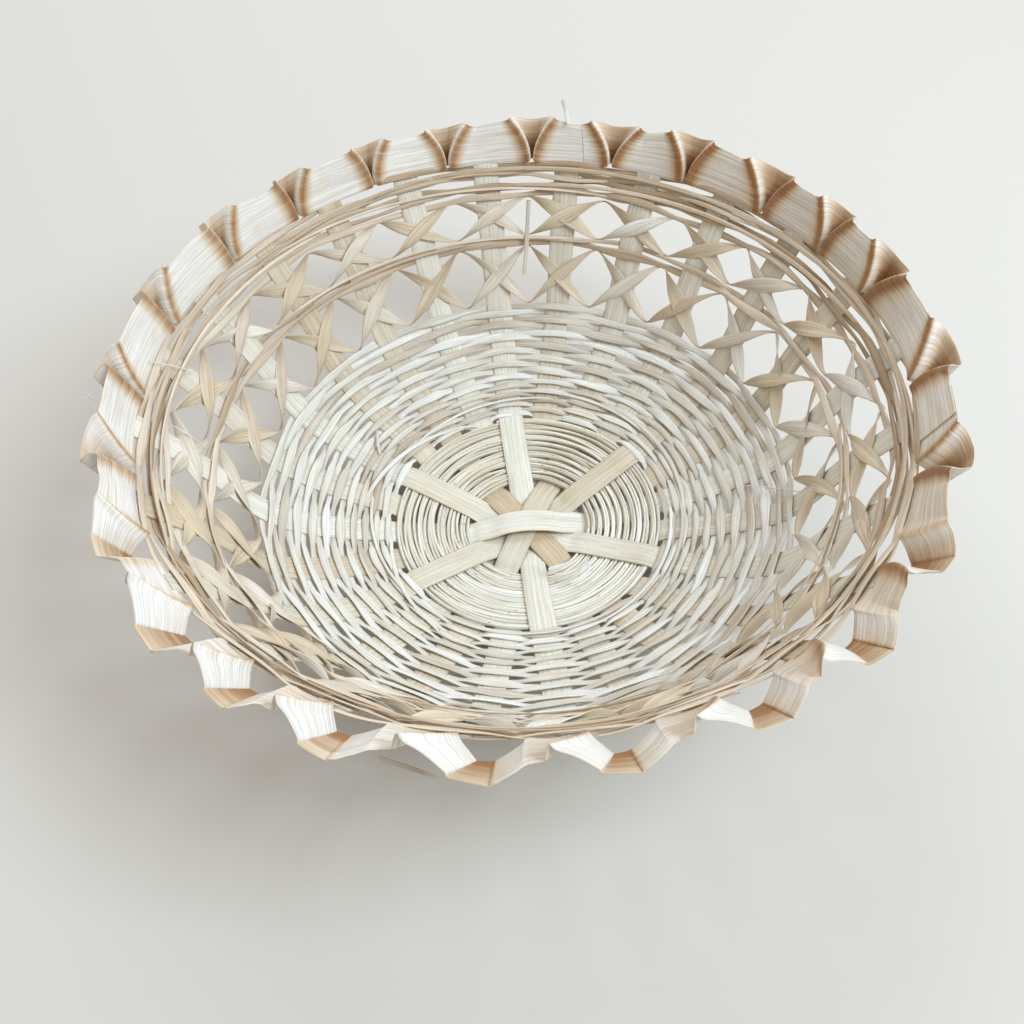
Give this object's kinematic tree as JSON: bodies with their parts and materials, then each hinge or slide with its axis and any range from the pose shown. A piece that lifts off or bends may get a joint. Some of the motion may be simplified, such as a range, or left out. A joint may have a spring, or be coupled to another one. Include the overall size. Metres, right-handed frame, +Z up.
{
  "type": "round basket",
  "caption": "Shallow round basket of flat split bamboo, with stakes crossing at the base, close woven lower wall, open star bands and a ruffled ribbon rim.",
  "frame": {"origin": "centre of the flat underside of the lowest base strip, on the floor plane and on the basket's axis", "axes": "+Z up out of the bowl along its axis, +Y away from the viewer in the picture, +X to the viewer's right"},
  "size_m": [0.2424, 0.242, 0.0796],
  "materials": {
    "stake": "satin split bamboo",
    "coil": "matte split bamboo",
    "weaver": "satin split bamboo",
    "star": "satin split bamboo",
    "band": "matte split bamboo",
    "ribbon": "satin split bamboo"
  },
  "bodies": {
    "root": {"base_strip_1": "stake", "base_strip_2": "stake", "base_strip_3": "stake", "base_strip_4": "stake", "base_strip_5": "stake", "base_strip_6": "stake", "side_stake_1": "stake", "side_stake_2": "stake", "side_stake_3": "stake", "side_stake_4": "stake", "side_stake_5": "stake", "side_stake_6": "stake", "side_stake_7": "stake", "side_stake_8": "stake", "side_stake_9": "stake", "side_stake_10": "stake", "side_stake_11": "stake", "side_stake_12": "stake", "base_coil": "coil", "wall_weaver_01": "weaver", "wall_weaver_02": "weaver", "wall_weaver_03": "weaver", "wall_weaver_04": "weaver", "wall_weaver_05": "weaver", "wall_weaver_06": "weaver", "wall_weaver_07": "weaver", "wall_weaver_08": "weaver", "wall_weaver_09": "weaver", "wall_weaver_10": "weaver", "wall_weaver_11": "weaver", "wall_weaver_12": "weaver", "wall_weaver_13": "weaver", "wall_weaver_14": "weaver", "wall_weaver_15": "weaver", "wall_weaver_16": "weaver", "wall_weaver_17": "weaver", "wall_weaver_18": "weaver", "wall_weaver_19": "weaver", "wall_weaver_20": "weaver", "lower_star_strand_a": "star", "lower_star_strand_b": "star", "upper_star_strand_a": "star", "upper_star_strand_b": "star", "ring_weaver_lower": "band", "ring_weaver_upper": "band", "band_weaver_1": "band", "band_weaver_2": "band", "band_weaver_3": "band", "band_weaver_4": "band", "band_weaver_5": "band", "band_weaver_6": "band", "rim_ribbon_long": "ribbon", "rim_ribbon_short": "ribbon"}
  },
  "joints": []
}
